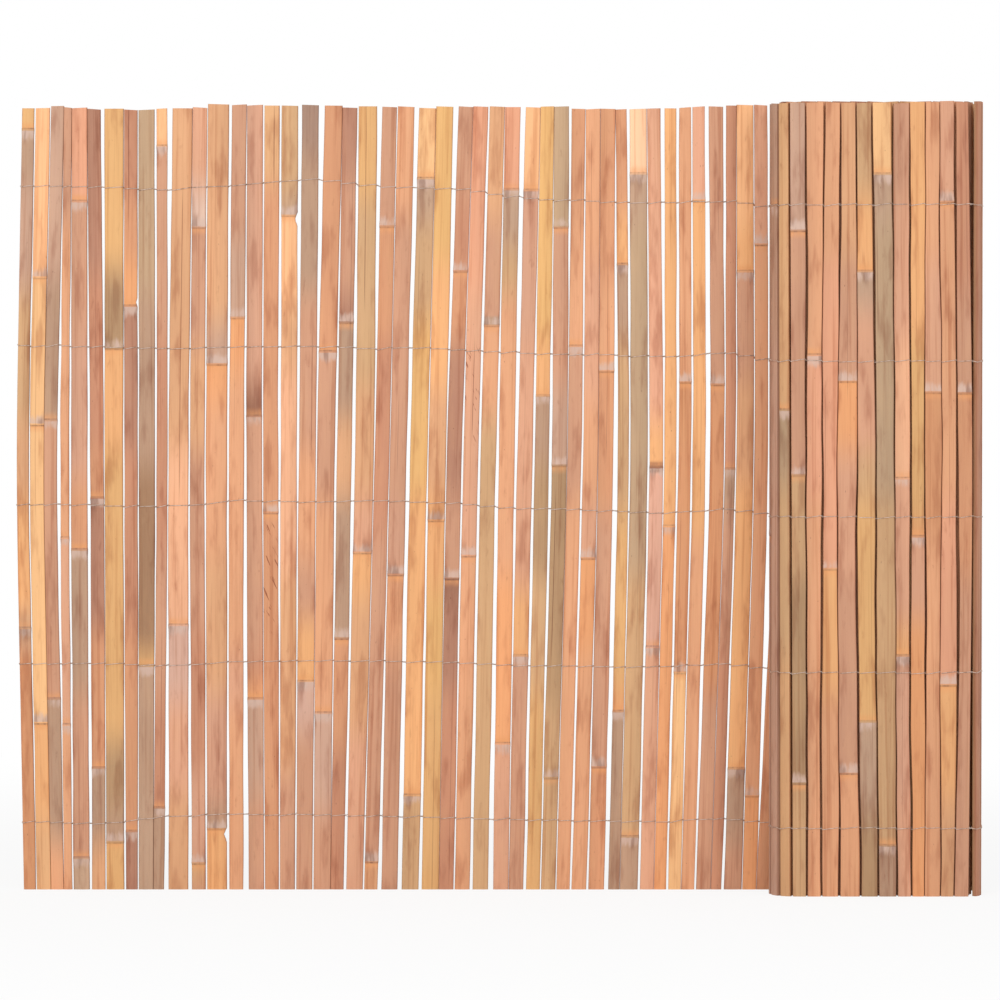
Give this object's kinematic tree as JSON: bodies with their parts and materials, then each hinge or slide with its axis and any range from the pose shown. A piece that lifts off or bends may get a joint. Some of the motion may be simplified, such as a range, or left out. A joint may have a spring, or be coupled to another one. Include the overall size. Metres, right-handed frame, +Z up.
{
  "type": "bamboo screen",
  "caption": "Fence screen of split bamboo slats tied side by side with rows of thin wire, standing on the slats' feet with one end still rolled up in front.",
  "frame": {"origin": "middle of the floor outline, on the floor under the slats' feet", "axes": "+X along the screen from its free edge to its rolled end, +Y from front to back, +Z up along the slats"},
  "size_m": [1.2268, 0.1048, 1],
  "materials": {
    "bamboo": "matte, split cane with its skin, dry and lightly weathered",
    "tie_wire": "dull galvanised"
  },
  "bodies": {
    "root": {"slat_01": "bamboo", "slat_02": "bamboo", "slat_03": "bamboo", "slat_04": "bamboo", "slat_05": "bamboo", "slat_06": "bamboo", "slat_07": "bamboo", "slat_08": "bamboo", "slat_09": "bamboo", "slat_10": "bamboo", "slat_11": "bamboo", "slat_12": "bamboo", "slat_13": "bamboo", "slat_14": "bamboo", "slat_15": "bamboo", "slat_16": "bamboo", "slat_17": "bamboo", "slat_18": "bamboo", "slat_19": "bamboo", "slat_20": "bamboo", "slat_21": "bamboo", "slat_22": "bamboo", "slat_23": "bamboo", "slat_24": "bamboo", "slat_25": "bamboo", "slat_26": "bamboo", "slat_27": "bamboo", "slat_28": "bamboo", "slat_29": "bamboo", "slat_30": "bamboo", "slat_31": "bamboo", "slat_32": "bamboo", "slat_33": "bamboo", "slat_34": "bamboo", "slat_35": "bamboo", "slat_36": "bamboo", "slat_37": "bamboo", "slat_38": "bamboo", "slat_39": "bamboo", "slat_40": "bamboo", "slat_41": "bamboo", "slat_42": "bamboo", "slat_43": "bamboo", "slat_44": "bamboo", "slat_45": "bamboo", "slat_46": "bamboo", "roll_turn_1": "bamboo", "roll_turn_2": "bamboo", "roll_turn_3": "bamboo", "roll_turn_4": "bamboo", "tie_wire_1": "tie_wire", "tie_wire_2": "tie_wire", "tie_wire_3": "tie_wire", "tie_wire_4": "tie_wire", "tie_wire_5": "tie_wire"}
  },
  "joints": []
}
